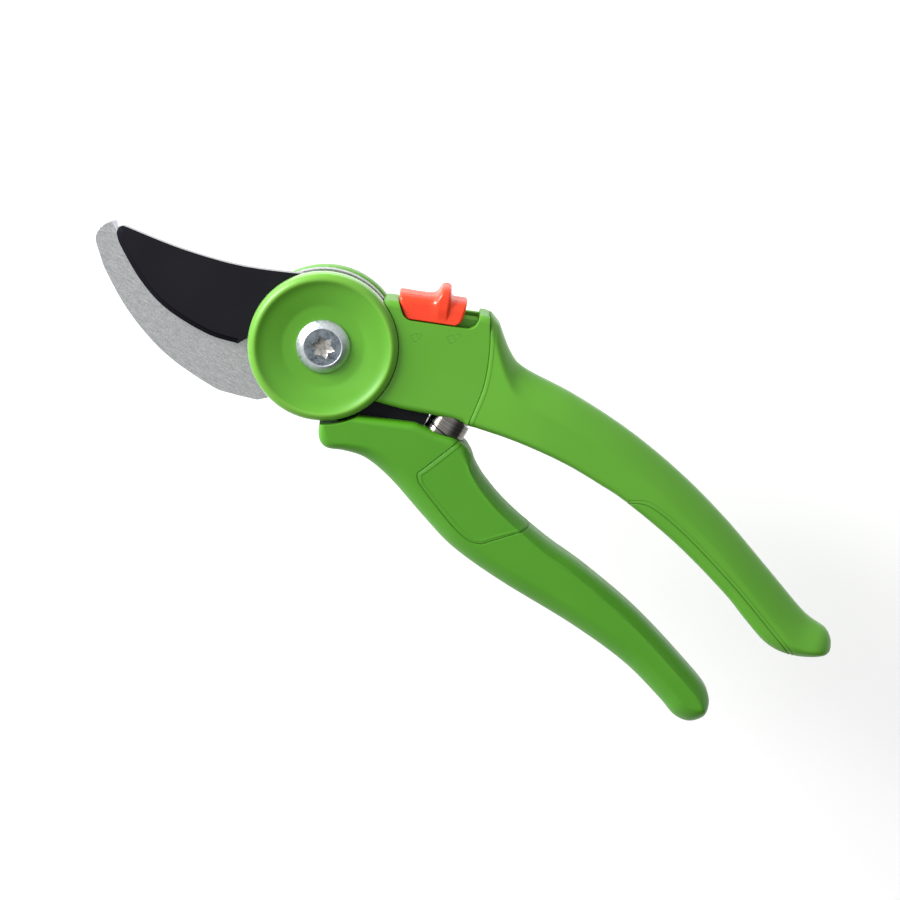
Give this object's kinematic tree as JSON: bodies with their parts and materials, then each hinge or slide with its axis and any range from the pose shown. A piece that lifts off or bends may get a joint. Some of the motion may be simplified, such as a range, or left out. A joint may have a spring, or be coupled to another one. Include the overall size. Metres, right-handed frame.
{
  "type": "pruning shears",
  "caption": "Bypass pruning shears: green plastic handles, a dished disc over the pivot bolt, a black blade passing a steel hook, a volute spring and a red sliding lock.",
  "frame": {"origin": "pivot axis of the blades at the back face the shears lie on", "axes": "+X runs from the pivot to the handle ends, +Y towards the palm-side handle, +Z out of the front disc along the pivot bolt"},
  "size_m": [0.2053, 0.0654, 0.0142],
  "materials": {
    "handle_green": "satin moulded plastic, leaf green",
    "pad_green": "soft matt overmould in the same leaf green",
    "hook_steel": "satin ground steel",
    "zinc": "bright zinc plating, slightly mottled",
    "sleeve_steel": "plain turned steel",
    "washer_black": "black low-friction plastic",
    "spring_steel": "polished rolled spring steel",
    "blade_black": "matt black non-stick coating",
    "lock_red": "glossy orange-red plastic"
  },
  "bodies": {
    "upper_limb": {"upper_handle": "handle_green", "upper_grip": "handle_green", "upper_grip_pad": "pad_green", "hook": "hook_steel", "hook_rivet_1": "zinc", "hook_rivet_2": "zinc", "front_disc": "handle_green", "pivot_bolt": "zinc", "pivot_nut": "zinc", "nut_washer": "zinc", "pivot_sleeve": "sleeve_steel", "friction_washer": "washer_black", "volute_spring": "spring_steel", "detent_spring": "spring_steel"},
    "lower_limb": {"lower_handle": "handle_green", "finger_pad": "pad_green", "cutting_blade": "blade_black", "blade_rivet_1": "zinc", "blade_rivet_2": "zinc"},
    "lock": {"lock_slider": "lock_red", "lock_latch": "spring_steel"}
  },
  "joints": [
    {"name": "handle_pivot", "type": "hinge", "parent": "upper_limb", "child": "lower_limb", "pos_m": [0, 0, 0.0071], "axis": [0, 0, -1], "range_deg": [0, 28], "deforming": ["volute_spring"]},
    {"name": "lock_slide", "type": "slide", "parent": "upper_limb", "child": "lock", "axis": [0.9272, 0.3746, 0], "range_m": [0, 0.0032]}
  ]
}
